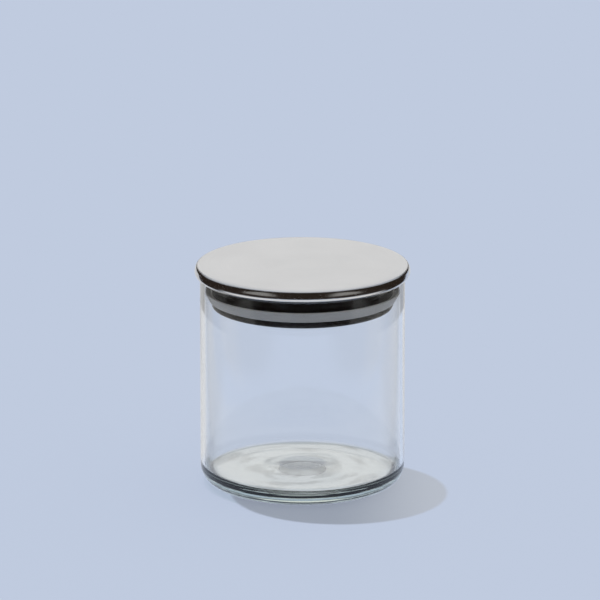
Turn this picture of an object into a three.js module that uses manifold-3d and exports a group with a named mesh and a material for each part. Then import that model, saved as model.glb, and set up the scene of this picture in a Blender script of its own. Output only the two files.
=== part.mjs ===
// A lidded glass canister. A straight-sided glass jar is closed by a push-in lid: a brushed steel cap is
// curled round the flange of a black plastic plug, and a silicone seal in the plug's groove grips the glass.
// Millimetres. Z is up, the Z axis is the jar's own axis, and the jar stands on z = 0.
import * as THREE from "three";
import { mergeVertices } from "three/addons/utils/BufferGeometryUtils.js";
import Module from "manifold-3d";

// Overall size.
const HEIGHT = 110; // from the table to the flat top of the closed lid
const JAR_RADIUS = 50;
const CAP_RADIUS = 52.6;
const CAP_DEPTH = 5.2; // the cap's side, from its flat top to the bottom of its hem

// Glass jar.
const WALL = 2;
const FLOOR_THICKNESS = 7.2;
const OUTER_CORNER = 9.3; // radius of the rounded edge that the jar stands on
const INNER_CORNER = 3.5;
const FOOT_INNER_RADIUS = 33; // inside this the underside is pushed up off the table
const PUSH_UP = 0.8;
const FLOOR_CROWN = 0.4; // how far the inner floor rises at its middle
const DIMPLE_RADIUS = 12.5; // round recess in the middle of the underside
const DIMPLE_DEPTH = 0.3;

// Steel cap.
const SHEET = 0.6;
const EDGE_RADIUS = 1.8; // the side bulges out by this from the edge of the flat top, then curls in below

// Bonding pad between the cap and the plug.
const PAD_THICKNESS = 0.5;
const PAD_INSET = 1.5; // from the edge of the flange to the edge of the pad
const BOND_GAP = 0.05;

// Black plug.
const PLUG_RADIUS = 44.2;
const PLUG_DEPTH = 20.2; // from the flat top of the cap to the bottom of the plug
const PLUG_EDGE_RADIUS = 1;
const PLUG_WALL = 2;
const FIT_GAP = 0.3; // between pieces that are assembled into each other
const REST_GAP = 0.2; // between the flange and the glass rim it rests on
const RIB_COUNT = 6;
const RIB_THICKNESS = 1.6;
const HUB_RADIUS = 10;

// Seal groove in the plug, and the seal. Depths are measured down from the flat top of the cap.
const GROOVE_TOP = 13.4;
const GROOVE_BOTTOM = 16.9;
const GROOVE_DEPTH = 1.8;
const SEAL_GAP = 0.1;
const FIN_TIP_DEPTH = 11.4;
const FIN_TIP_RADIUS = 47.7; // 0.3 inside the glass
const FIN_ROOT_RADIUS = 45.3;
const FIN_THICKNESS = 0.8;

const SEGMENTS = 64; // round every turned piece

const jarInner = JAR_RADIUS - WALL;
const rimHeight = HEIGHT - CAP_DEPTH - REST_GAP;
const flangeUnder = HEIGHT - CAP_DEPTH;
const capInner = CAP_RADIUS - SHEET;
const edgeCentreRadius = CAP_RADIUS - EDGE_RADIUS;
const edgeCentreHeight = HEIGHT - CAP_DEPTH + EDGE_RADIUS;
const sideHeight = HEIGHT - edgeCentreHeight;
const flangeRadius = capInner - FIT_GAP;
const flangeStepRadius = edgeCentreRadius - SHEET / 2 - FIT_GAP;
const padTop = HEIGHT - SHEET - BOND_GAP;
const plugTop = padTop - PAD_THICKNESS - BOND_GAP;
const plugBottom = HEIGHT - PLUG_DEPTH;
const grooveRadius = PLUG_RADIUS - GROOVE_DEPTH;

function at(r, z) {
  return new THREE.Vector2(r, z);
}

// Points along an arc, both ends included. Angles are in degrees from +r towards +Z. A height that differs
// from the radius makes it an arc of an ellipse.
function arc(r, z, radius, from, to, steps = 5, height = radius) {
  return Array.from({ length: steps + 1 }, (_, i) => {
    const angle = THREE.MathUtils.degToRad(from + ((to - from) * i) / steps);
    return at(r + radius * Math.cos(angle), z + height * Math.sin(angle));
  });
}

// A solid of revolution about Z. Its outline runs anticlockwise, with r to the right and z up.
function turned(outline) {
  return new THREE.LatheGeometry(outline, SEGMENTS).rotateX(Math.PI / 2);
}

// A smooth hump: 1 in the middle, level at both ends, 0 from the given radius outwards.
function hump(r, radius) {
  return r < radius ? (1 + Math.cos((Math.PI * r) / radius)) / 2 : 0;
}

function undersideHeight(r) {
  return PUSH_UP * hump(r, FOOT_INNER_RADIUS) + DIMPLE_DEPTH * hump(r, DIMPLE_RADIUS);
}

function floorHeight(r) {
  return FLOOR_THICKNESS + FLOOR_CROWN * hump(r, jarInner - INNER_CORNER);
}

// Points of a height that depends on the radius, from one radius to another.
function contour(height, from, to, steps) {
  return Array.from({ length: steps + 1 }, (_, i) => {
    const r = from + ((to - from) * i) / steps;
    return at(r, height(r));
  });
}

function glassJar() {
  const rimRadius = WALL / 2;
  const floorRadius = jarInner - INNER_CORNER;
  return turned([
    ...contour(undersideHeight, 0, FOOT_INNER_RADIUS, 8),
    ...arc(JAR_RADIUS - OUTER_CORNER, OUTER_CORNER, OUTER_CORNER, -90, 0, 7),
    ...arc(JAR_RADIUS - rimRadius, rimHeight - rimRadius, rimRadius, 0, 180, 6),
    ...arc(floorRadius, FLOOR_THICKNESS + INNER_CORNER, INNER_CORNER, 0, -90, 6),
    ...contour(floorHeight, floorRadius, 0, 6).slice(1),
  ]);
}

// The cap's edge, at some depth inside its outer surface: the bulging side, and the curl below it.
function capSide(depth, from, to, steps) {
  return arc(edgeCentreRadius, edgeCentreHeight, EDGE_RADIUS - depth, from, to, steps, sideHeight - depth);
}

function capCurl(depth, from, to, steps) {
  return arc(edgeCentreRadius, edgeCentreHeight, EDGE_RADIUS - depth, from, to, steps);
}

function lidCap() {
  const tipHeight = HEIGHT - CAP_DEPTH + SHEET / 2;
  return turned([
    at(0, HEIGHT - SHEET),
    ...capSide(SHEET, 90, 0, 5),
    ...capCurl(SHEET, 0, -90, 4).slice(1),
    ...arc(edgeCentreRadius, tipHeight, SHEET / 2, 90, 270, 4).slice(1, -1),
    ...capCurl(0, -90, 0, 5),
    ...capSide(0, 0, 90, 7).slice(1),
    at(0, HEIGHT),
  ]);
}

function bondingPad() {
  const radius = flangeRadius - PAD_INSET;
  const padBottom = padTop - PAD_THICKNESS;
  return turned([at(0, padBottom), at(radius, padBottom), at(radius, padTop), at(0, padTop)]);
}

// The plug without its ribs: a drum that is closed below and open under the cap.
function plugShell() {
  const boreRadius = PLUG_RADIUS - PLUG_WALL;
  const grooveBore = grooveRadius - PLUG_WALL;
  const floorTop = plugBottom + PLUG_WALL;
  const grooveTop = HEIGHT - GROOVE_TOP;
  const inCap = SHEET + FIT_GAP;
  const topAngle = THREE.MathUtils.radToDeg(Math.asin((plugTop - edgeCentreHeight) / (sideHeight - inCap)));
  return turned([
    at(0, plugBottom),
    ...arc(PLUG_RADIUS - PLUG_EDGE_RADIUS, plugBottom + PLUG_EDGE_RADIUS, PLUG_EDGE_RADIUS, -90, 0, 3),
    at(PLUG_RADIUS, HEIGHT - GROOVE_BOTTOM),
    at(grooveRadius, HEIGHT - GROOVE_BOTTOM),
    at(grooveRadius, grooveTop),
    at(PLUG_RADIUS, grooveTop),
    at(PLUG_RADIUS, flangeUnder),
    at(flangeStepRadius, flangeUnder),
    at(flangeStepRadius, edgeCentreHeight - EDGE_RADIUS + inCap),
    ...capCurl(inCap, -90, 0, 3),
    ...capSide(inCap, 0, topAngle, 4).slice(1),
    at(boreRadius, plugTop),
    at(boreRadius, grooveTop + PLUG_WALL),
    at(grooveBore, grooveTop),
    at(grooveBore, floorTop),
    at(0, floorTop),
  ]);
}

// A ring in the middle of the plug that the ribs meet, from its floor to its top.
function hub() {
  const bottom = plugBottom + PLUG_WALL / 2;
  const bore = HUB_RADIUS - RIB_THICKNESS;
  const outline = [at(bore, bottom), at(HUB_RADIUS, bottom), at(HUB_RADIUS, plugTop), at(bore, plugTop)];
  return turned([...outline, outline[0]]);
}

// One radial rib, from the hub into the plug's wall.
function rib(turn) {
  const from = HUB_RADIUS - RIB_THICKNESS / 2;
  const to = grooveRadius - PLUG_WALL / 2;
  const bottom = plugBottom + PLUG_WALL / 2;
  return new THREE.BoxGeometry(to - from, RIB_THICKNESS, plugTop - bottom)
    .translate((from + to) / 2, 0, (plugTop + bottom) / 2)
    .rotateZ(turn);
}

// Joins closed geometries into one solid.
function joined(geometries, wasm) {
  const solids = geometries.map((geometry) => {
    const bare = geometry.clone();
    bare.deleteAttribute("normal");
    bare.deleteAttribute("uv");
    const merged = mergeVertices(bare, 1e-3);
    return new wasm.Manifold(
      new wasm.Mesh({
        numProp: 3,
        vertProperties: merged.attributes.position.array,
        triVerts: new Uint32Array(merged.index.array),
      }),
    );
  });
  const mesh = solids.reduce((whole, solid) => whole.add(solid)).getMesh();
  const geometry = new THREE.BufferGeometry();
  geometry.setAttribute("position", new THREE.BufferAttribute(mesh.vertProperties, 3));
  geometry.setIndex(new THREE.BufferAttribute(mesh.triVerts, 1));
  geometry.computeVertexNormals();
  return geometry;
}

function plugBody(wasm) {
  const turns = Array.from({ length: RIB_COUNT }, (_, i) => ((i + 0.5) * 2 * Math.PI) / RIB_COUNT);
  return joined([plugShell(), hub(), ...turns.map(rib)], wasm);
}

// The seal: a band held in the groove, and a fin that leans outwards and upwards from its lower edge.
function sealRing() {
  const bandInner = grooveRadius + SEAL_GAP;
  const bandBottom = HEIGHT - GROOVE_BOTTOM + SEAL_GAP;
  const bandTop = HEIGHT - GROOVE_TOP - SEAL_GAP;
  const finTip = HEIGHT - FIN_TIP_DEPTH;
  const outline = [
    at(bandInner, bandBottom),
    at(FIN_ROOT_RADIUS, bandBottom),
    at(FIN_TIP_RADIUS, finTip - FIN_THICKNESS / 2),
    at(FIN_TIP_RADIUS - FIN_THICKNESS / 4, finTip),
    at(FIN_TIP_RADIUS - FIN_THICKNESS, finTip),
    at(PLUG_RADIUS + FIN_THICKNESS, bandTop),
    at(bandInner, bandTop),
  ];
  return turned([...outline, outline[0]]);
}

function piece(name, geometry, colour, roughness, metalness, more = {}) {
  const material = new THREE.MeshStandardMaterial({ color: colour, roughness, metalness, ...more });
  const mesh = new THREE.Mesh(geometry, material);
  mesh.name = name;
  return mesh;
}

const wasm = await Module();
wasm.setup();

const lid = new THREE.Group();
lid.add(
  piece("lid_cap", lidCap(), 0xbdbbb8, 0.32, 1),
  piece("bonding_pad", bondingPad(), 0xe4e2dc, 0.9, 0),
  piece("plug_body", plugBody(wasm), 0x0b0b0c, 0.2, 0),
  piece("seal_ring", sealRing(), 0xa3adb3, 0.45, 0),
);

const canister = new THREE.Group();
canister.add(
  piece("glass_jar", glassJar(), 0xe6efec, 0.03, 0, { transparent: true, opacity: 0.35 }),
  lid,
);

export default canister;
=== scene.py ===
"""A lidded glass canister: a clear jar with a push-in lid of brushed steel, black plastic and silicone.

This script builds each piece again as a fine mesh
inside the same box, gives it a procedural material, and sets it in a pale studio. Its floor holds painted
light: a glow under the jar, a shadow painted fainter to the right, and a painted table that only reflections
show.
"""
import math

import bmesh
import bpy
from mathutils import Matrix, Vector


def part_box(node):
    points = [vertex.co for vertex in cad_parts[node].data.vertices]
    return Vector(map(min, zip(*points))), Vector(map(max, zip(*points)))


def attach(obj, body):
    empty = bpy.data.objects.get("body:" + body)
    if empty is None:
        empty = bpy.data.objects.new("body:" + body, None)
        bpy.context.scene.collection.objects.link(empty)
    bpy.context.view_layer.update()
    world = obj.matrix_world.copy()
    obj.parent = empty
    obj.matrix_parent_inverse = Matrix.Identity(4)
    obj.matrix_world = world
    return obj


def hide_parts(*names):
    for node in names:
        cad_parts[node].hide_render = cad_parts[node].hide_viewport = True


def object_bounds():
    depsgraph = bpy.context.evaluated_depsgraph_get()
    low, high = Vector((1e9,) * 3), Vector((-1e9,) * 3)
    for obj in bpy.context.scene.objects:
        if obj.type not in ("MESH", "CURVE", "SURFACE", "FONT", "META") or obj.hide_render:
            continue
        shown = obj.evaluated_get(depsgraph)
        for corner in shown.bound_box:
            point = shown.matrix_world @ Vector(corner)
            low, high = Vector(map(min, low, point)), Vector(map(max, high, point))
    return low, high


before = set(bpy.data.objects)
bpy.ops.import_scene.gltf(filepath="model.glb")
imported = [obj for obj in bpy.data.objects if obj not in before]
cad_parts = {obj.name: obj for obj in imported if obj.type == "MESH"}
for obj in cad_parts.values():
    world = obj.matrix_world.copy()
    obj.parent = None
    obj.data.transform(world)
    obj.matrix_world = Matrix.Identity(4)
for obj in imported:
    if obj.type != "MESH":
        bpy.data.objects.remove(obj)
CAD_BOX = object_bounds()

# ---------------------------------------------------------------- sizes, in metres
MM = 0.001
SEGMENTS = 256  # round every turned piece
HOLD = 0.12 * MM  # from each end of a long stretch to the point that keeps its shading flat
ON_AXIS = 1e-7  # a point nearer to Z than this lies on it
SHARP_ANGLE = math.radians(35)  # faces that meet at more than this are not shaded as one

_, JAR_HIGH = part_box("glass_jar")
CAP_LOW, CAP_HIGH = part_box("lid_cap")
PAD_LOW, PAD_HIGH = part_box("bonding_pad")
PLUG_LOW, PLUG_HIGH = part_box("plug_body")
_, SEAL_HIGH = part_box("seal_ring")

# Glass jar.
JAR_RADIUS = JAR_HIGH.x
WALL = 2 * MM
FLOOR_THICKNESS = 7.2 * MM
OUTER_CORNER = 9.3 * MM
INNER_CORNER = 3.5 * MM
FOOT_INNER_RADIUS = 33 * MM
PUSH_UP = 0.8 * MM
FLOOR_CROWN = 0.4 * MM
DIMPLE_RADIUS = 12.5 * MM
DIMPLE_DEPTH = 0.3 * MM
DIMPLE_EDGE = 1.5 * MM  # where its frosting fades out
UNDERSIDE_END = (3 * MM, 3.1 * MM)  # the underside lies below these heights, and the inner floor above
BASE_WAVE = 0.09 * MM  # height of the uneven flow of the glass in the base
BASE_WAVE_FADE = 4 * MM  # and the width, just inside the inner corner, over which it fades out
WALL_STEP = 2 * MM  # longer faces in the walls make refracted rays go astray

# Steel cap. Its side bulges out from the flat top, and curls in below under the plug's flange.
CAP_RADIUS = CAP_HIGH.x
SHEET = 0.6 * MM
EDGE_RADIUS = 1.8 * MM
EDGE_CENTRE = Vector((CAP_RADIUS - EDGE_RADIUS, CAP_LOW.z + EDGE_RADIUS))
TOP_ROLL_WIDTH = 3.5 * MM  # the flat top falls away a little before its edge
TOP_ROLL_DROP = 0.15 * MM

# Black plug and the groove for the seal.
PLUG_RADIUS = 44.2 * MM
PLUG_EDGE_RADIUS = 1 * MM
PLUG_WALL = 2 * MM
GROOVE_RADIUS = 42.4 * MM
GROOVE_LOW = CAP_HIGH.z - 16.9 * MM
GROOVE_HIGH = CAP_HIGH.z - 13.4 * MM
PANEL_RADIUS = 37 * MM  # a shallow recess in the plug's underside
PANEL_STEP = 1 * MM
PANEL_DEPTH = 0.8 * MM
MOULD_EDGE = 0.25 * MM  # small rounding of moulded edges
FIT_GAP = 0.3 * MM

# Seal.
SEAL_GAP = 0.1 * MM
FIN_ROOT_RADIUS = 45.3 * MM
FIN_THICKNESS = 0.8 * MM
SEAL_EDGE = 0.3 * MM  # rounding of its edges

# Bonding pad.
PAD_EDGE = 0.2 * MM

# Camera. It aims above the middle and slightly to the left, so that the canister stands low in the picture.
CAMERA_DISTANCE = 3.5
CAMERA_LENS = 428.9
CAMERA_LIFT = math.radians(16.2)
MIDDLE = Vector((0, 0, (CAD_BOX[0].z + CAD_BOX[1].z) / 2))
AIM = Vector((-1.2 * MM, 0, 91.8 * MM))

# Materials. Colours are linear.
GLASS_IOR = 1.5
GLASS_TINT = (0.72, 0.80, 0.75)
GLASS_DENSITY = 16
GLASS_SHADOW = (0.93, 0.95, 0.95)  # the share of the lamp's light that one surface lets through
SMUDGE_ROUGHNESS = 0.035
DIMPLE_ROUGHNESS = 0.4
STEEL_SIDE_TONE = 0.68
STEEL_TOP_TONE = 0.7
STEEL_WARMTH = (1, 0.99, 0.975)
POLISHED_ROUGHNESS = 0.12
SPECK_ROUGHNESS = 0.3
BRUSHED_ROUGHNESS = 0.26
BRUSHED_VARIATION = 0.16
BRUSHING_STARTS = (CAP_HIGH.z - 0.9 * MM, CAP_HIGH.z - 0.3 * MM)  # from polished to brushed
BLACKS = (0.0035, 0.0033, 0.0033), (0.008, 0.0078, 0.0078)
SILICONE_GREYS = (0.90, 0.89, 0.86), (0.97, 0.955, 0.925)
SILICONE_IOR = 1.41
SILICONE_TRANSLUCENCE = 0.3
FOAM_CREAMS = (0.62, 0.60, 0.56), (0.78, 0.76, 0.71)

# Studio. Colours are linear. The soft light and the sun together light the floor to exactly its own colour.
PALE_BLUE = (0.527, 0.597, 0.738)
WARM_WHITE = (1.0, 0.985, 0.96)
SOFT_WHITE = (0.98, 1.0, 1.04)
COOL_WHITE = (0.93, 1.0, 1.12)
DARK_ROOM = (0.028, 0.021, 0.017)
ROOM_THROUGH_GLASS = (0.2, 0.225, 0.25)
AMBIENT = (0.82, 0.81, 0.79)
AMBIENT_FROM_BEHIND = 0.35  # the share by which the soft light is stronger behind, and weaker in front
SUNLIGHT = (1.95, 2.1, 2.85)
SUN_FROM = Vector((-18, 20.5, 107))
SUN_WIDTH = math.radians(1.2)

# Floor.
FLOOR_RADIUS = 6
FLOOR_GAP = 0.05 * MM  # keeps the floor and the jar's foot apart, as two surfaces in one place flicker
SHADOW_NEAR = (0.51, 0.51, 0.5)  # how much of the floor's colour is lit and not given off, near the jar; the rest glows, and the glowing share grows to the right, which paints the shadow fainter there
SHADOW_FAR = (0.13, 0.18, 0.25)
SHADOW_FADE = (10 * MM, 70 * MM)  # from near to far, to the right of the axis
PAINTED_GLOW_BENEATH_JAR = (0.42, 0.45, 0.47)  # painted light: the floor glows here under the jar's base, and only rays through the glass see it
# the painted glow under the base fades out between these distances from the axis
BENEATH_EDGE = (JAR_RADIUS - 4 * MM, JAR_RADIUS - 1 * MM)
# painted shade: a dimmer glow on the floor where the dimple lies above it
PAINTED_SHADE_UNDER_DIMPLE = (0.27, 0.31, 0.38)
# the painted glow under the base lies in uneven rings
RINGS_OUTWARDS = 90  # noise units in a metre outwards, where a radian round the axis has one
RINGS_SCALE = 1.3
PATCH_BEHIND = 12 * MM  # the dimple's darker patch on the floor, painted shade, lies this far behind the axis
PATCH_RADIUS = 13 * MM
PATCH_EDGE = 3 * MM

# What polished pieces see: how bright each part of the table and the room is. The table is painted
# reflection: the floor glows with it only for reflected rays.
TABLE_GLOW = 1.16
LEFT_GLOW = 0.74
SIDE_GLOW = 0.3
CLOSE_GLOW = 0.95
CORNER_GLOW = 0.92
TABLE_END = 352 * MM  # from the axis to its front edge
TABLE_LONGER_DIRECT = 14 * MM  # and how much further that is when it is not seen through glass
LOW_GLOW = 1.2
LOW_GLOW_THROUGH_GLASS = 0.98
HIGH_GLOW = 0.62
FRONT_GLOW = 0.3
LATER_THROUGH_GLASS = 0.09  # radians by which the low light starts higher when it is seen through glass

# Edges of the table's zones, in metres. A pair says where an edge starts and ends: as a distance from the
# axis (FROM_AXIS), to either side of it (ASIDE), or behind it (BACK, which is negative in front). A lean is
# how far an edge comes closer to the axis, or moves to the left, for each metre further back.
LEFT_ZONE_LEFT, LEFT_ZONE_LEFT_LEAN = (-0.09, -0.04), 0.75
LEFT_ZONE_RIGHT, LEFT_ZONE_RIGHT_LEAN = (0.02, 0.05), -0.48
LEFT_ZONE_BACK = (0.0, 0.05)
SIDES_FROM_AXIS = (0.24, 0.30)
SIDES_ASIDE = (0.11, 0.25)
SIDES_BACK = (0.05, 0.15)
CLOSE_STARTS_FROM_AXIS = (0.075, 0.095)
CLOSE_ENDS_FROM_AXIS = (0.15, 0.25)
CLOSE_BACK = (0.0, 0.06)
CORNERS_ASIDE, CORNERS_LEAN = (0.06, 0.11), -0.75
CORNERS_BACK = (-0.02, 0.04)
AT_LID_FROM_AXIS = (0.326, 0.334)
AT_LID_BACK = (-0.2, -0.1)
PAST_SIDES_ASIDE = (0.37, 0.40)
PAST_SIDES_BACK = (0.0, 0.04)
PAST_END = (0, 6 * MM)  # beyond the table's end
PAST_END_BACK = (-0.235, -0.225)

# Edges of the room's lights. PITCH is an angle in radians, from level behind the canister up to overhead.
# ASIDE, BACK and UP are parts of a direction of length 1.
LOW_SIDES_ASIDE = (0.22, 0.4)
LOW_SIDES_PITCH = (0.4, 0.6)
LIGHT_ASIDE = (0.62, 0.78)
LIGHT_STARTS_PITCH = (math.radians(3), math.radians(7))
HIGH_LIGHT_PITCH = (math.radians(19), math.radians(25))
LIGHT_ENDS_PITCH = (math.radians(65), math.radians(80))
FRONT_ASIDE = (0.4, 0.6)
FRONT_BACK = (-0.5, -0.35)
FRONT_UP = (0.02, 0.1)


# ---------------------------------------------------------------- mesh helpers
def arc(r, z, radius, start, end, steps=12, height=None):
    """Points (r, z) along an arc, both ends included. Angles are in degrees from +r towards +z.

    A height that differs from the radius makes it an arc of an ellipse."""
    height = radius if height is None else height
    angles = [math.radians(start + (end - start) * i / steps) for i in range(steps + 1)]
    return [(r + radius * math.cos(a), z + height * math.sin(a)) for a in angles]


def contour(height, start, end, steps):
    """Points of a height that depends on the radius, both ends included."""
    radii = [start + (end - start) * i / steps for i in range(steps + 1)]
    return [(r, height(r)) for r in radii]


def hump(r, radius):
    """1 in the middle, level at both ends, and 0 from radius outwards."""
    return (1 + math.cos(math.pi * r / radius)) / 2 if r < radius else 0.0


def rounded(corners, radius, steps=4):
    """An outline with each of its inner corners rounded. The first and last points stay as they are."""
    points = [corners[0]]
    for before, corner, after in zip(corners, corners[1:], corners[2:]):
        c = Vector(corner)
        to_before, to_after = Vector(before) - c, Vector(after) - c
        reach = min(radius, to_before.length / 2, to_after.length / 2)
        first, last = c + to_before.normalized() * reach, c + to_after.normalized() * reach
        for i in range(steps + 1):
            t = i / steps
            bent = first.lerp(c, t).lerp(c.lerp(last, t), t)
            points.append((bent.x, bent.y))
    points.append(corners[-1])
    return points


def divided(outline, step):
    """The same outline with points added, so that no straight stretch of it is longer than a step."""
    points = [outline[0]]
    for (r0, z0), (r1, z1) in zip(outline, outline[1:]):
        count = math.ceil(math.hypot(r1 - r0, z1 - z0) / step)
        points += [(r0 + (r1 - r0) * i / count, z0 + (z1 - z0) * i / count) for i in range(1, count + 1)]
    return points


def held(outline):
    """The same outline with a point near both ends of each long stretch, which keeps its shading flat."""
    points = [outline[0]]
    for start, end in zip(outline, outline[1:]):
        along = Vector(end) - Vector(start)
        if along.length > 4 * HOLD:
            step = along.normalized() * HOLD
            points += [tuple(Vector(start) + step), tuple(Vector(end) - step)]
        points.append(end)
    return points


def turned(name, outline, closed=False):
    """A solid of revolution about Z. Its outline runs anticlockwise with r to the right and z up.

    An open outline starts and ends on the axis. A closed one is a ring's section."""
    mesh = bmesh.new()
    rings = []
    for r, z in held(outline):
        if r < ON_AXIS:
            rings.append([mesh.verts.new((0, 0, z))])
            continue
        turns = [2 * math.pi * i / SEGMENTS for i in range(SEGMENTS)]
        rings.append([mesh.verts.new((r * math.cos(a), r * math.sin(a), z)) for a in turns])
    pairs = list(zip(rings, rings[1:]))
    if closed:
        pairs.append((rings[-1], rings[0]))
    for low, high in pairs:
        for i in range(SEGMENTS):
            j = (i + 1) % SEGMENTS
            corners = [low[i % len(low)], low[j % len(low)], high[j % len(high)], high[i % len(high)]]
            mesh.faces.new(list(dict.fromkeys(corners)))
    data = bpy.data.meshes.new(name)
    mesh.to_mesh(data)
    mesh.free()
    data.shade_smooth()
    data.set_sharp_from_angle(angle=SHARP_ANGLE)
    piece = bpy.data.objects.new(name, data)
    bpy.context.scene.collection.objects.link(piece)
    return piece


# ---------------------------------------------------------------- pieces
def base_wave(x, y):
    """Gentle uneven flow left in pressed glass, from -1 to 1."""
    return (
        0.5 * math.sin(x / (7 * MM) + 1.3 * math.sin(y / (11 * MM)))
        + 0.3 * math.sin(y / (5 * MM) + 0.8 * math.sin(x / (9 * MM)) + 1.0)
        + 0.2 * math.sin((x + y) / (13 * MM) + 2.0)
    )


def underside_height(r):
    return PUSH_UP * hump(r, FOOT_INNER_RADIUS) + DIMPLE_DEPTH * hump(r, DIMPLE_RADIUS)


def floor_height(r):
    return FLOOR_THICKNESS + FLOOR_CROWN * hump(r, JAR_RADIUS - WALL - INNER_CORNER)


def make_jar():
    """The outline goes from the underside up the wall, over the rim and down to the inner floor."""
    rim = WALL / 2
    floor_radius = JAR_RADIUS - WALL - INNER_CORNER
    outline = [
        *contour(underside_height, 0, FOOT_INNER_RADIUS, 44),
        *arc(JAR_RADIUS - OUTER_CORNER, OUTER_CORNER, OUTER_CORNER, -90, 0, 24),
        *arc(JAR_RADIUS - rim, JAR_HIGH.z - rim, rim, 0, 180, 16),
        *arc(floor_radius, FLOOR_THICKNESS + INNER_CORNER, INNER_CORNER, 0, -90, 20),
        *contour(floor_height, floor_radius, 0, 44)[1:],
    ]
    jar = turned("jar_glass", divided(outline, WALL_STEP))
    for vertex in jar.data.vertices:
        r = math.hypot(vertex.co.x, vertex.co.y)
        if vertex.co.z < FLOOR_THICKNESS + INNER_CORNER and r < floor_radius:
            side = 1 if vertex.co.z > FLOOR_THICKNESS / 2 else hump(r, FOOT_INNER_RADIUS)
            fade = min(1, (floor_radius - r) / BASE_WAVE_FADE)
            vertex.co.z += BASE_WAVE * side * fade * base_wave(vertex.co.x, vertex.co.y)
    return jar


def cap_side(depth, start, end, steps, top):
    """The bulging side of the cap's edge, at some depth inside its outer surface and up to some height."""
    return arc(*EDGE_CENTRE, EDGE_RADIUS - depth, start, end, steps, top - depth - EDGE_CENTRE.y)


def cap_curl(depth, start, end, steps):
    return arc(*EDGE_CENTRE, EDGE_RADIUS - depth, start, end, steps)


def top_height(r):
    roll = max(0, (r - EDGE_CENTRE.x) / TOP_ROLL_WIDTH + 1)
    return CAP_HIGH.z - TOP_ROLL_DROP * roll**2


def make_cap():
    """The outline goes along the inside of the sheet, round the curl's end and back over the outside."""
    top = CAP_HIGH.z
    flat_radius = EDGE_CENTRE.x - TOP_ROLL_WIDTH
    outline = [
        (0, top - SHEET),
        *cap_side(SHEET, 90, 0, 16, top),
        *cap_curl(SHEET, 0, -90, 12)[1:],
        *arc(EDGE_CENTRE.x, CAP_LOW.z + SHEET / 2, SHEET / 2, 90, 270, 8)[1:-1],
        *cap_curl(0, -90, 0, 20),
        *cap_side(0, 0, 84, 26, top - TOP_ROLL_DROP)[1:],
        *contour(top_height, EDGE_CENTRE.x, flat_radius, 8),
        *contour(top_height, flat_radius, 0, 8)[1:],
    ]
    return turned("cap_steel", outline)


def make_plug():
    """A cup that is open upwards, with a groove for the seal and a flange that sits in the cap's curl."""
    in_cap = SHEET + FIT_GAP
    flange_low = CAP_LOW.z
    flange_step = EDGE_CENTRE.x - SHEET / 2 - FIT_GAP
    bore = PLUG_RADIUS - PLUG_WALL
    floor_top = PLUG_LOW.z + PLUG_WALL
    edge_rise = (PLUG_HIGH.z - EDGE_CENTRE.y) / (CAP_HIGH.z - in_cap - EDGE_CENTRE.y)
    edge_top = math.degrees(math.asin(edge_rise))
    body = [
        (0, PLUG_LOW.z + PANEL_DEPTH),
        (PANEL_RADIUS, PLUG_LOW.z + PANEL_DEPTH),
        (PANEL_RADIUS + PANEL_STEP, PLUG_LOW.z),
        *arc(PLUG_RADIUS - PLUG_EDGE_RADIUS, PLUG_LOW.z + PLUG_EDGE_RADIUS, PLUG_EDGE_RADIUS, -90, 0),
        (PLUG_RADIUS, GROOVE_LOW),
        (GROOVE_RADIUS, GROOVE_LOW),
        (GROOVE_RADIUS, GROOVE_HIGH),
        (PLUG_RADIUS, GROOVE_HIGH),
        (PLUG_RADIUS, flange_low),
        (flange_step, flange_low),
        (flange_step, flange_low + in_cap),
        *cap_curl(in_cap, -90, 0, 8),
        *cap_side(in_cap, 0, edge_top, 8, CAP_HIGH.z)[1:],
        (bore, PLUG_HIGH.z),
        (bore, GROOVE_HIGH + PLUG_WALL),
        (GROOVE_RADIUS - PLUG_WALL, GROOVE_HIGH),
        (GROOVE_RADIUS - PLUG_WALL, floor_top),
        (0, floor_top),
    ]
    return turned("plug_plastic", rounded(body, MOULD_EDGE))


def make_seal():
    """A ring in the groove, with a fin that flares up and out towards the glass."""
    inner = GROOVE_RADIUS + SEAL_GAP
    low, high = GROOVE_LOW + SEAL_GAP, GROOVE_HIGH - SEAL_GAP
    tip = SEAL_HIGH.x
    corners = [
        ((inner + FIN_ROOT_RADIUS) / 2, low),
        (FIN_ROOT_RADIUS, low),
        (tip, SEAL_HIGH.z - FIN_THICKNESS / 2),
        (tip - FIN_THICKNESS / 3, SEAL_HIGH.z),
        (tip - FIN_THICKNESS, SEAL_HIGH.z),
        (PLUG_RADIUS + FIN_THICKNESS, high),
        (inner, high),
        (inner, low),
        ((inner + FIN_ROOT_RADIUS) / 2, low),
    ]
    return turned("seal_silicone", rounded(corners, SEAL_EDGE)[:-1], closed=True)


def make_pad():
    """A thin disc between the cap and the plug."""
    corners = [
        (0, PAD_LOW.z),
        (PAD_HIGH.x, PAD_LOW.z),
        (PAD_HIGH.x, PAD_HIGH.z),
        (0, PAD_HIGH.z),
    ]
    return turned("pad_foam", rounded(corners, PAD_EDGE))


# ---------------------------------------------------------------- node helpers
def new_material(name):
    """A material with a Principled shader: the material, its node tree and the shader's node."""
    material = bpy.data.materials.new(name)
    material.use_nodes = True
    tree = material.node_tree
    return material, tree, tree.nodes["Principled BSDF"]


def set_input(tree, socket, value):
    """Gives a socket a value: another socket's, or a number of its own."""
    if isinstance(value, bpy.types.NodeSocket):
        tree.links.new(value, socket)
    else:
        socket.default_value = value


def math_node(tree, operation, *values, kind="ShaderNodeMath"):
    """One math step on sockets or numbers."""
    node = tree.nodes.new(kind)
    node.operation = operation
    for socket, value in zip(node.inputs, values):
        set_input(tree, socket, value)
    return node.outputs[0]


def product(tree, first, *others):
    for other in others:
        first = math_node(tree, "MULTIPLY", first, other)
    return first


def opposite(tree, value):
    return math_node(tree, "SUBTRACT", 1.0, value)


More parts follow.
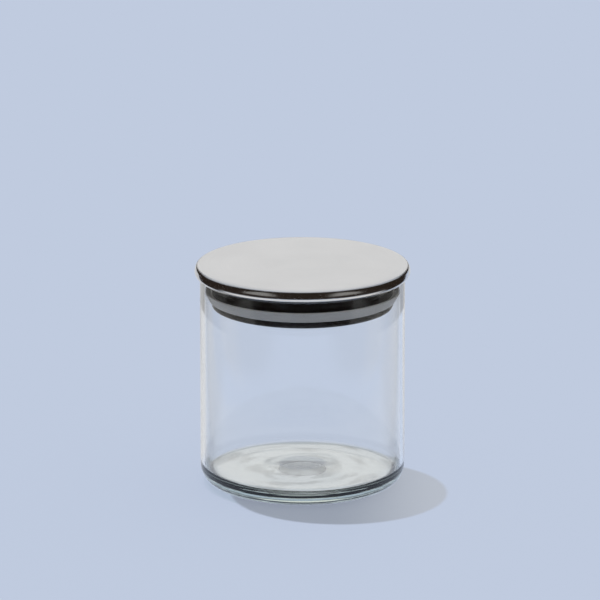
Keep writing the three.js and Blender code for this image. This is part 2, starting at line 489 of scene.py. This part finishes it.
def smooth_step(tree, value, edge, low=0.0, high=1.0):
    """Low until the edge's start, then smoothly to high at its end."""
    node = tree.nodes.new("ShaderNodeMapRange")
    node.interpolation_type = "SMOOTHSTEP"
    tree.links.new(value, node.inputs["Value"])
    for name, number in zip(("From Min", "From Max", "To Min", "To Max"), (*edge, low, high)):
        node.inputs[name].default_value = number
    return node.outputs["Result"]


def falling(tree, value, edge):
    """1 until the edge's start, then smoothly to 0 at its end."""
    return smooth_step(tree, value, edge, 1.0, 0.0)


def split_xyz(tree, vector):
    node = tree.nodes.new("ShaderNodeSeparateXYZ")
    tree.links.new(vector, node.inputs[0])
    return node.outputs


def join_xyz(tree, *values):
    node = tree.nodes.new("ShaderNodeCombineXYZ")
    for socket, value in zip(node.inputs, values):
        set_input(tree, socket, value)
    return node.outputs[0]


def from_axis(tree, x, y):
    """Distance from the jar's axis."""
    return math_node(tree, "SQRT", math_node(tree, "ADD", product(tree, x, x), product(tree, y, y)))


def object_place(tree):
    return tree.nodes.new("ShaderNodeTexCoord").outputs["Object"]


def polar_place(tree):
    """Where a point is as (turn about Z in radians, distance from Z, height)."""
    x, y, z = split_xyz(tree, object_place(tree))
    return join_xyz(tree, math_node(tree, "ARCTAN2", y, x), from_axis(tree, x, y), z)


def noise(tree, place, scale, detail=2.0, stretch=(1, 1, 1)):
    """A noise value from 0 to 1, over a place that may be stretched along each axis."""
    mapping = tree.nodes.new("ShaderNodeMapping")
    mapping.inputs["Scale"].default_value = stretch
    tree.links.new(place, mapping.inputs["Vector"])
    node = tree.nodes.new("ShaderNodeTexNoise")
    node.inputs["Scale"].default_value = scale
    node.inputs["Detail"].default_value = detail
    tree.links.new(mapping.outputs["Vector"], node.inputs["Vector"])
    return node.outputs["Fac"]


def colour_between(tree, value, first, last):
    """The first colour at value 0, the last at value 1."""
    node = tree.nodes.new("ShaderNodeValToRGB")
    node.color_ramp.elements[0].color = (*first, 1)
    node.color_ramp.elements[1].color = (*last, 1)
    tree.links.new(value, node.inputs[0])
    return node.outputs[0]


def bump(tree, shader, height, strength, distance):
    """Small relief from a height value."""
    node = tree.nodes.new("ShaderNodeBump")
    node.inputs["Strength"].default_value = strength
    node.inputs["Distance"].default_value = distance
    tree.links.new(height, node.inputs["Height"])
    tree.links.new(node.outputs["Normal"], shader.inputs["Normal"])


def blend(tree, factor, first, second):
    """The first shader at factor 0, the second at factor 1."""
    node = tree.nodes.new("ShaderNodeMixShader")
    for socket, value in zip(node.inputs, (factor, first, second)):
        tree.links.new(value, socket)
    return node.outputs[0]


# ---------------------------------------------------------------- materials
def let_lamps_through(tree, shader, tint):
    """Lets the lamp's rays pass, so that glass doesn't throw a solid shadow."""
    path = tree.nodes.new("ShaderNodeLightPath")
    clear = tree.nodes.new("ShaderNodeBsdfTransparent")
    clear.inputs["Color"].default_value = (*tint, 1)
    mix = blend(tree, path.outputs["Is Shadow Ray"], shader.outputs[0], clear.outputs[0])
    tree.links.new(mix, tree.nodes["Material Output"].inputs["Surface"])


def glass_material():
    """Clear glass with faint handling marks, and a grey-green tint that only shows where it is thick."""
    material, tree, shader = new_material("clear_glass")
    shader.inputs["Base Color"].default_value = (1, 1, 1, 1)
    shader.inputs["Transmission Weight"].default_value = 1
    shader.inputs["IOR"].default_value = GLASS_IOR
    smudges = noise(tree, object_place(tree), scale=45, detail=4)
    rubbed = smooth_step(tree, smudges, (0.5, 0.8), high=SMUDGE_ROUGHNESS)
    x, y, z = split_xyz(tree, object_place(tree))
    in_dimple = falling(tree, from_axis(tree, x, y), (DIMPLE_RADIUS - DIMPLE_EDGE, DIMPLE_RADIUS))
    frosted = smooth_step(tree, z, UNDERSIDE_END, low=DIMPLE_ROUGHNESS, high=0.0)
    roughness = math_node(tree, "ADD", rubbed, product(tree, in_dimple, frosted))
    tree.links.new(roughness, shader.inputs["Roughness"])
    ripple = noise(tree, object_place(tree), scale=30, detail=1, stretch=(1, 1, 0.35))
    bump(tree, shader, ripple, strength=0.25, distance=0.2 * MM)
    tint = tree.nodes.new("ShaderNodeVolumeAbsorption")
    tint.inputs["Color"].default_value = (*GLASS_TINT, 1)
    tint.inputs["Density"].default_value = GLASS_DENSITY
    tree.links.new(tint.outputs[0], tree.nodes["Material Output"].inputs["Volume"])
    let_lamps_through(tree, shader, GLASS_SHADOW)
    return material


def steel_material():
    """Stainless steel: a top brushed in circles, and a polished side with a few bright specks."""
    material, tree, shader = new_material("stainless_steel")
    shader.inputs["Metallic"].default_value = 1
    place = polar_place(tree)
    _, _, height = split_xyz(tree, object_place(tree))
    top = smooth_step(tree, height, BRUSHING_STARTS)
    brushing = noise(tree, place, scale=1, detail=3, stretch=(1.2, 5200, 0))
    blotches = noise(tree, object_place(tree), scale=38, detail=3)
    specks = noise(tree, place, scale=1, detail=3, stretch=(26, 0, 2600))

    brushed = math_node(tree, "MULTIPLY_ADD", brushing, BRUSHED_VARIATION, BRUSHED_ROUGHNESS)
    polished = smooth_step(tree, specks, (0.45, 0.75), low=POLISHED_ROUGHNESS, high=SPECK_ROUGHNESS)
    roughness = tree.nodes.new("ShaderNodeMix")
    tree.links.new(top, roughness.inputs["Factor"])
    tree.links.new(polished, roughness.inputs["A"])
    tree.links.new(brushed, roughness.inputs["B"])
    tree.links.new(roughness.outputs["Result"], shader.inputs["Roughness"])

    side_to_top = smooth_step(tree, top, (0, 1), low=STEEL_SIDE_TONE, high=STEEL_TOP_TONE)
    tone = product(tree, side_to_top, smooth_step(tree, blotches, (0.2, 0.8), low=0.97, high=1.03))
    shade = tree.nodes.new("ShaderNodeCombineColor")
    for channel, share in zip(shade.inputs, STEEL_WARMTH):
        tree.links.new(product(tree, tone, share), channel)
    tree.links.new(shade.outputs[0], shader.inputs["Base Color"])
    bump(tree, shader, product(tree, brushing, top), strength=0.15, distance=0.02 * MM)
    return material


def plastic_material():
    """Glossy black moulded plastic with faint flow lines and fine wear."""
    material, tree, shader = new_material("black_plastic")
    flow = noise(tree, object_place(tree), scale=60, detail=4, stretch=(1, 1, 3))
    tree.links.new(colour_between(tree, flow, *BLACKS), shader.inputs["Base Color"])
    tree.links.new(smooth_step(tree, flow, (0.3, 0.8), low=0.1, high=0.24), shader.inputs["Roughness"])
    grain = noise(tree, object_place(tree), scale=900)
    bump(tree, shader, grain, strength=0.08, distance=0.02 * MM)
    return material


def silicone_material():
    """Translucent grey silicone, satin, with a slight cloudiness."""
    material, tree, shader = new_material("translucent_silicone")
    cloud = noise(tree, object_place(tree), scale=70, detail=3)
    tree.links.new(colour_between(tree, cloud, *SILICONE_GREYS), shader.inputs["Base Color"])
    shader.inputs["IOR"].default_value = SILICONE_IOR
    shader.inputs["Transmission Weight"].default_value = SILICONE_TRANSLUCENCE
    tree.links.new(smooth_step(tree, cloud, (0.3, 0.7), low=0.3, high=0.45), shader.inputs["Roughness"])
    grain = noise(tree, object_place(tree), scale=700)
    bump(tree, shader, grain, strength=0.1, distance=0.03 * MM)
    return material


def foam_material():
    """Closed-cell adhesive foam."""
    material, tree, shader = new_material("adhesive_foam")
    cells = tree.nodes.new("ShaderNodeTexVoronoi")
    cells.inputs["Scale"].default_value = 1400
    tree.links.new(object_place(tree), cells.inputs["Vector"])
    shade = colour_between(tree, cells.outputs["Distance"], *FOAM_CREAMS)
    tree.links.new(shade, shader.inputs["Base Color"])
    shader.inputs["Roughness"].default_value = 0.9
    bump(tree, shader, cells.outputs["Distance"], strength=0.4, distance=0.1 * MM)
    return material


# ---------------------------------------------------------------- studio
def path_tests(tree):
    """Three values, each 0 or 1: in a reflection, gathered as diffuse light, and seen through glass."""
    path = tree.nodes.new("ShaderNodeLightPath")
    glossy = math_node(tree, "GREATER_THAN", path.outputs["Glossy Depth"], 0.5)
    diffuse = math_node(tree, "GREATER_THAN", path.outputs["Diffuse Depth"], 0.5)
    through_glass = math_node(tree, "GREATER_THAN", path.outputs["Transmission Depth"], 0.5)
    return product(tree, glossy, opposite(tree, diffuse)), diffuse, through_glass


def glow(tree, colour, strength=1.0, kind="ShaderNodeEmission"):
    """A shader that only gives off light."""
    node = tree.nodes.new(kind)
    is_socket = isinstance(colour, bpy.types.NodeSocket)
    set_input(tree, node.inputs["Color"], colour if is_socket else (*colour, 1))
    set_input(tree, node.inputs["Strength"], strength)
    return node.outputs[0]


def sky(tree, colour, strength=1.0):
    return glow(tree, colour, strength, "ShaderNodeBackground")


def leaning(tree, x, y, lean):
    """A sideways distance that changes with how far back the place is."""
    return math_node(tree, "MULTIPLY_ADD", y, lean, x)


def painted_table_in_reflections(tree, x, y, through_glass):
    """What polished pieces see of the table, as painted reflection that the floor gives off only for
    reflected rays: pale, with white close by, grey sides, and dark past its end.
    """
    direct = opposite(tree, through_glass)
    distance = from_axis(tree, x, y)
    aside = math_node(tree, "ABSOLUTE", x)

    right_edge = falling(tree, leaning(tree, x, y, LEFT_ZONE_RIGHT_LEAN), LEFT_ZONE_RIGHT)
    left_edge = smooth_step(tree, leaning(tree, x, y, LEFT_ZONE_LEFT_LEAN), LEFT_ZONE_LEFT)
    left_behind = product(tree, right_edge, left_edge, smooth_step(tree, y, LEFT_ZONE_BACK))
    table = blend(tree, left_behind, glow(tree, PALE_BLUE, TABLE_GLOW), glow(tree, SOFT_WHITE, LEFT_GLOW))

    far_out = smooth_step(tree, distance, SIDES_FROM_AXIS)
    to_the_side = smooth_step(tree, aside, SIDES_ASIDE)
    sides = product(tree, far_out, to_the_side, falling(tree, y, SIDES_BACK))
    table = blend(tree, sides, table, glow(tree, WARM_WHITE, SIDE_GLOW))

    ring_start = smooth_step(tree, distance, CLOSE_STARTS_FROM_AXIS)
    ring = product(tree, ring_start, falling(tree, distance, CLOSE_ENDS_FROM_AXIS))
    close = product(tree, ring, direct, falling(tree, y, CLOSE_BACK))
    table = blend(tree, close, table, glow(tree, WARM_WHITE, CLOSE_GLOW))

    outer = smooth_step(tree, leaning(tree, aside, y, CORNERS_LEAN), CORNERS_ASIDE)
    corners = product(tree, outer, smooth_step(tree, y, CORNERS_BACK))
    table = blend(tree, product(tree, corners, through_glass), table, glow(tree, WARM_WHITE, CORNER_GLOW))

    at_lid = product(tree, smooth_step(tree, distance, AT_LID_FROM_AXIS), smooth_step(tree, y, AT_LID_BACK))
    table = blend(tree, product(tree, at_lid, through_glass), table, glow(tree, WARM_WHITE, SIDE_GLOW))

    past_aside = smooth_step(tree, aside, PAST_SIDES_ASIDE)
    past_sides = product(tree, past_aside, falling(tree, y, PAST_SIDES_BACK))
    end = math_node(tree, "MULTIPLY_ADD", direct, TABLE_LONGER_DIRECT, TABLE_END)
    beyond = smooth_step(tree, math_node(tree, "SUBTRACT", distance, end), PAST_END)
    past_front = product(tree, beyond, falling(tree, y, PAST_END_BACK))
    past = math_node(tree, "MAXIMUM", past_sides, product(tree, corners, direct))
    return blend(tree, math_node(tree, "MAXIMUM", past, past_front), table, glow(tree, DARK_ROOM))


def floor_in_light(tree, x):
    """The floor as the camera sees it: its own colour in full light, and a shadow painted fainter to the
    right.

    Part of its colour is given off and part is lit, and the lit part is all that a shadow takes away. The
    part given off grows to the right, so there the glow paints the shadow lighter."""
    share = colour_between(tree, smooth_step(tree, x, SHADOW_FADE), SHADOW_NEAR, SHADOW_FAR)
    for_full_light = [part / (soft + sun) for part, soft, sun in zip(PALE_BLUE, AMBIENT, SUNLIGHT)]
    lit = math_node(tree, "MULTIPLY", share, for_full_light, kind="ShaderNodeVectorMath")
    taken = [-part for part in PALE_BLUE]
    # the part given off is painted light that no shadow takes away
    given = math_node(tree, "MULTIPLY_ADD", share, taken, PALE_BLUE, kind="ShaderNodeVectorMath")
    surface = tree.nodes.new("ShaderNodeBsdfDiffuse")
    tree.links.new(lit, surface.inputs["Color"])
    total = tree.nodes.new("ShaderNodeAddShader")
    tree.links.new(surface.outputs[0], total.inputs[0])
    tree.links.new(glow(tree, given), total.inputs[1])
    return total.outputs[0]


def painted_light_beneath_jar(tree, x, y, distance):
    """Painted light under the jar's base, seen through the glass: a glow in uneven rings, and a painted
    darker patch of shade for the dimple.
    """
    across, back = math_node(tree, "DIVIDE", x, distance), math_node(tree, "DIVIDE", y, distance)
    place = join_xyz(tree, across, back, product(tree, distance, RINGS_OUTWARDS))
    rings = noise(tree, place, RINGS_SCALE)
    lit = glow(tree, PAINTED_GLOW_BENEATH_JAR, smooth_step(tree, rings, (0.38, 0.56), low=0.8, high=1.24))
    from_patch = from_axis(tree, x, math_node(tree, "SUBTRACT", y, PATCH_BEHIND))
    patch = falling(tree, from_patch, (PATCH_RADIUS - PATCH_EDGE, PATCH_RADIUS))
    return blend(tree, patch, lit, glow(tree, PAINTED_SHADE_UNDER_DIMPLE))


def floor_material():
    """A pale surface with painted light: a glow under the jar seen through the glass, and a shadow painted
    fainter to the right. Polished pieces see it as a painted table in a dark room.
    """
    material, tree, shader = new_material("pale_floor")
    tree.nodes.remove(shader)
    x, y, _ = split_xyz(tree, tree.nodes.new("ShaderNodeNewGeometry").outputs["Position"])
    distance = from_axis(tree, x, y)
    in_reflection, _, through_glass = path_tests(tree)
    # painted light: for rays through the glass, the floor under the jar glows instead of showing its lit
    # colour
    beneath = product(tree, falling(tree, distance, BENEATH_EDGE), through_glass)
    plain = blend(tree, beneath, floor_in_light(tree, x), painted_light_beneath_jar(tree, x, y, distance))
    reflected = product(tree, in_reflection, opposite(tree, beneath))
    look = blend(tree, reflected, plain, painted_table_in_reflections(tree, x, y, through_glass))
    tree.links.new(look, tree.nodes["Material Output"].inputs["Surface"])
    material.cycles.emission_sampling = "NONE"
    return material


def room_in_reflections(tree, direction, through_glass):
    """What polished pieces see of the room: a wide soft light from low behind to overhead, and darkness."""
    x, y, z = split_xyz(tree, direction)
    aside = math_node(tree, "ABSOLUTE", x)
    pitch = math_node(tree, "ARCTAN2", z, y)
    to_the_side = smooth_step(tree, aside, LOW_SIDES_ASIDE)
    low_sides = product(tree, to_the_side, falling(tree, pitch, LOW_SIDES_PITCH))
    across = product(tree, falling(tree, aside, LIGHT_ASIDE), opposite(tree, low_sides))
    from_low = math_node(tree, "MULTIPLY_ADD", through_glass, -LATER_THROUGH_GLASS, pitch)
    above_start = smooth_step(tree, from_low, LIGHT_STARTS_PITCH)
    below_end = falling(tree, pitch, LIGHT_ENDS_PITCH)
    weaker = LOW_GLOW_THROUGH_GLASS - LOW_GLOW
    low = sky(tree, WARM_WHITE, math_node(tree, "MULTIPLY_ADD", through_glass, weaker, LOW_GLOW))
    light = blend(tree, smooth_step(tree, pitch, HIGH_LIGHT_PITCH), low, sky(tree, COOL_WHITE, HIGH_GLOW))

    front_corners = product(tree, smooth_step(tree, aside, FRONT_ASIDE), falling(tree, y, FRONT_BACK))
    in_front = product(tree, front_corners, smooth_step(tree, z, FRONT_UP))
    dark = blend(tree, in_front, sky(tree, DARK_ROOM), sky(tree, WARM_WHITE, FRONT_GLOW))
    dark = blend(tree, through_glass, dark, sky(tree, ROOM_THROUGH_GLASS))
    return blend(tree, product(tree, across, above_start, below_end), dark, light)


def make_world():
    """The room, which differs for the camera, for reflections and as soft light on rough surfaces."""
    world = bpy.data.worlds.new("studio")
    world.use_nodes = True
    bpy.context.scene.world = world
    tree = world.node_tree
    tree.nodes.clear()
    direction = tree.nodes.new("ShaderNodeTexCoord").outputs["Generated"]
    in_reflection, as_diffuse, through_glass = path_tests(tree)
    room = room_in_reflections(tree, direction, through_glass)
    seen = blend(tree, in_reflection, sky(tree, PALE_BLUE), room)
    _, y, _ = split_xyz(tree, direction)
    soft = sky(tree, AMBIENT, math_node(tree, "MULTIPLY_ADD", y, AMBIENT_FROM_BEHIND, 1.0))
    output = tree.nodes.new("ShaderNodeOutputWorld")
    tree.links.new(blend(tree, as_diffuse, seen, soft), output.inputs["Surface"])
    world.cycles.sampling_method = "NONE"


def make_floor():
    mesh = bmesh.new()
    bmesh.ops.create_circle(mesh, cap_ends=True, radius=FLOOR_RADIUS, segments=96)
    data = bpy.data.meshes.new("floor")
    mesh.to_mesh(data)
    mesh.free()
    floor = bpy.data.objects.new("floor", data)
    floor.location.z = CAD_BOX[0].z - FLOOR_GAP
    data.materials.append(floor_material())
    bpy.context.scene.collection.objects.link(floor)


def make_sun():
    """The sun. Level ground gets as much light from it as SUNLIGHT says."""
    lamp = bpy.data.lights.new("key", "SUN")
    lamp.color = SUNLIGHT
    lamp.energy = math.pi / SUN_FROM.normalized().z
    lamp.angle = SUN_WIDTH
    lamp.cycles.use_multiple_importance_sampling = False
    sun = bpy.data.objects.new("key", lamp)
    sun.rotation_euler = SUN_FROM.to_track_quat("Z", "Y").to_euler()
    sun.visible_glossy = False
    sun.visible_transmission = False
    bpy.context.scene.collection.objects.link(sun)


def make_camera():
    data = bpy.data.cameras.new("camera")
    data.lens = CAMERA_LENS
    data.clip_start, data.clip_end = 0.1, 50
    camera = bpy.data.objects.new("camera", data)
    back = Vector((0, -math.cos(CAMERA_LIFT), math.sin(CAMERA_LIFT)))
    camera.location = MIDDLE + back * CAMERA_DISTANCE
    camera.rotation_euler = (AIM - camera.location).to_track_quat("-Z", "Y").to_euler()
    bpy.context.scene.collection.objects.link(camera)
    bpy.context.scene.camera = camera


# ---------------------------------------------------------------- the scene
PIECES = [
    # maker, material, body, slot, CAD node it stands for
    (make_jar, glass_material, "jar", "glass", "glass_jar"),
    (make_cap, steel_material, "lid", "steel", "lid_cap"),
    (make_pad, foam_material, "lid", "pad_foam", "bonding_pad"),
    (make_plug, plastic_material, "lid", "black_plastic", "plug_body"),
    (make_seal, silicone_material, "lid", "silicone", "seal_ring"),
]

make_camera()
for make, material, body, slot, node in PIECES:
    piece = make()
    piece.data.materials.append(material())
    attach(piece, body)
    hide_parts(node)
make_floor()
make_world()
make_sun()
bpy.context.scene.view_settings.view_transform = "Standard"
